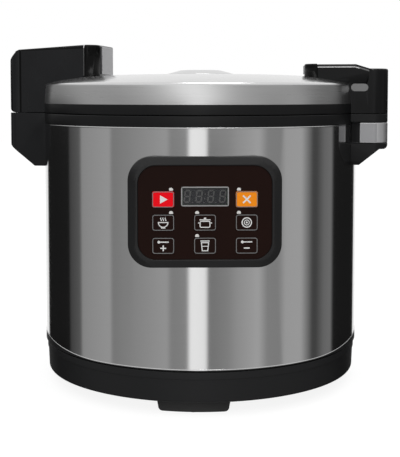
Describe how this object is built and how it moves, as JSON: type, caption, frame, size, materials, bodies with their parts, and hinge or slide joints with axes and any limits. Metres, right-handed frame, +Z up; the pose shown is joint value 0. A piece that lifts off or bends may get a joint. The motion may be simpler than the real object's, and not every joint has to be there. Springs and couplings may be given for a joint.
{
  "type": "rice warmer",
  "caption": "Round steel rice warmer with a hinged domed lid, black side arms, a push latch, a front key panel with display, an inner pot and a heated base.",
  "frame": {"origin": "on the floor under the middle of the body", "axes": "+Z up, the key panel faces -Y, +X towards the latch side"},
  "size_m": [0.4626, 0.392, 0.4054],
  "materials": {
    "steel": "brushed stainless sheet",
    "inner_steel": "plain sheet",
    "black_plastic": "fine moulded grain",
    "rubber": "matte",
    "silicone": "satin",
    "screws": "zinc plated",
    "wool": "mineral wool",
    "aluminium": "satin",
    "brass": "plain",
    "ceramic": "glazed",
    "board": "solder mask",
    "board_parts": "moulded",
    "panel_dark": "satin film",
    "key_red": "satin film",
    "key_orange": "satin film",
    "pale_grey": "satin",
    "window": "tinted clear",
    "lens": "milky",
    "plate": "bare foil",
    "silver": "satin plated"
  },
  "bodies": {
    "root": {"outer_shell": "steel", "base_housing": "black_plastic", "bottom_cover": "inner_steel", "feet": "rubber", "base_screws": "screws", "body_rim_ring": "black_plastic", "inner_liner": "inner_steel", "insulation_wrap": "wool", "warming_band": "silicone", "inner_pot": "aluminium", "heating_plate": "aluminium", "plate_supports": "aluminium", "heater_terminals": "brass", "sensor_holder": "inner_steel", "sensor_spring": "screws", "thermal_fuse": "ceramic", "power_board": "board", "power_parts": "board_parts", "control_bezel": "black_plastic", "panel_face": "panel_dark", "display_frame": "pale_grey", "display_window": "window", "display_module": "board_parts", "indicator_lenses": "lens", "control_board": "board", "tact_switches": "board_parts", "panel_screws": "screws", "power_inlet": "black_plastic", "inlet_pins": "brass", "data_plate": "plate", "hinge_bracket": "black_plastic", "hinge_pin": "inner_steel", "latch_bracket": "black_plastic", "bracket_screws": "screws", "latch_springs": "screws"},
    "lid": {"lid_cover": "steel", "lid_rim_ring": "black_plastic", "lid_inner_panel": "inner_steel", "lid_gasket": "silicone", "lid_insulation": "wool", "vent_tube": "black_plastic", "hinge_arm": "black_plastic", "lid_handle": "black_plastic", "arm_end_caps": "black_plastic", "arm_end_plates": "silver", "handle_inlay": "pale_grey", "latch_strike": "inner_steel", "arm_screws": "screws"},
    "vent": {"vent_cap": "silver"},
    "latch": {"latch_button": "silver", "latch_hook": "inner_steel"},
    "sensor": {"thermal_sensor": "aluminium"},
    "key_start": {"key_start": "key_red"},
    "key_cancel": {"key_cancel": "key_orange"},
    "key_one": {"key_one": "panel_dark"},
    "key_two": {"key_two": "panel_dark"},
    "key_three": {"key_three": "panel_dark"},
    "key_four": {"key_four": "panel_dark"},
    "key_plus": {"key_plus": "panel_dark"},
    "key_minus": {"key_minus": "panel_dark"}
  },
  "joints": [
    {"name": "lid_hinge", "type": "hinge", "parent": "root", "child": "lid", "pos_m": [-0.21841, 0.04245, 0.3325], "axis": [-0.1908, -0.9816, 0], "range_deg": [0, 90]},
    {"name": "vent_lift", "type": "slide", "parent": "lid", "child": "vent", "axis": [0, 0, 1], "range_m": [0, 0.025]},
    {"name": "latch_press", "type": "slide", "parent": "root", "child": "latch", "axis": [-0.9816, 0.1908, 0], "range_m": [0, 0.004], "stiffness_N_per_m": 900, "springref_m": -0.003, "deforming": ["latch_springs"]},
    {"name": "sensor_press", "type": "slide", "parent": "root", "child": "sensor", "axis": [0, 0, -1], "range_m": [0, 0.004], "stiffness_N_per_m": 600, "springref_m": -0.004, "deforming": ["sensor_spring"]},
    {"name": "press_start", "type": "slide", "parent": "root", "child": "key_start", "axis": [0, 1, 0], "range_m": [0, 0.0006], "stiffness_N_per_m": 2500, "springref_m": -0.0004},
    {"name": "press_cancel", "type": "slide", "parent": "root", "child": "key_cancel", "axis": [0, 1, 0], "range_m": [0, 0.0006], "stiffness_N_per_m": 2500, "springref_m": -0.0004},
    {"name": "press_one", "type": "slide", "parent": "root", "child": "key_one", "axis": [0, 1, 0], "range_m": [0, 0.0006], "stiffness_N_per_m": 2500, "springref_m": -0.0004},
    {"name": "press_two", "type": "slide", "parent": "root", "child": "key_two", "axis": [0, 1, 0], "range_m": [0, 0.0006], "stiffness_N_per_m": 2500, "springref_m": -0.0004},
    {"name": "press_three", "type": "slide", "parent": "root", "child": "key_three", "axis": [0, 1, 0], "range_m": [0, 0.0006], "stiffness_N_per_m": 2500, "springref_m": -0.0004},
    {"name": "press_four", "type": "slide", "parent": "root", "child": "key_four", "axis": [0, 1, 0], "range_m": [0, 0.0006], "stiffness_N_per_m": 2500, "springref_m": -0.0004},
    {"name": "press_plus", "type": "slide", "parent": "root", "child": "key_plus", "axis": [0, 1, 0], "range_m": [0, 0.0006], "stiffness_N_per_m": 2500, "springref_m": -0.0004},
    {"name": "press_minus", "type": "slide", "parent": "root", "child": "key_minus", "axis": [0, 1, 0], "range_m": [0, 0.0006], "stiffness_N_per_m": 2500, "springref_m": -0.0004}
  ]
}
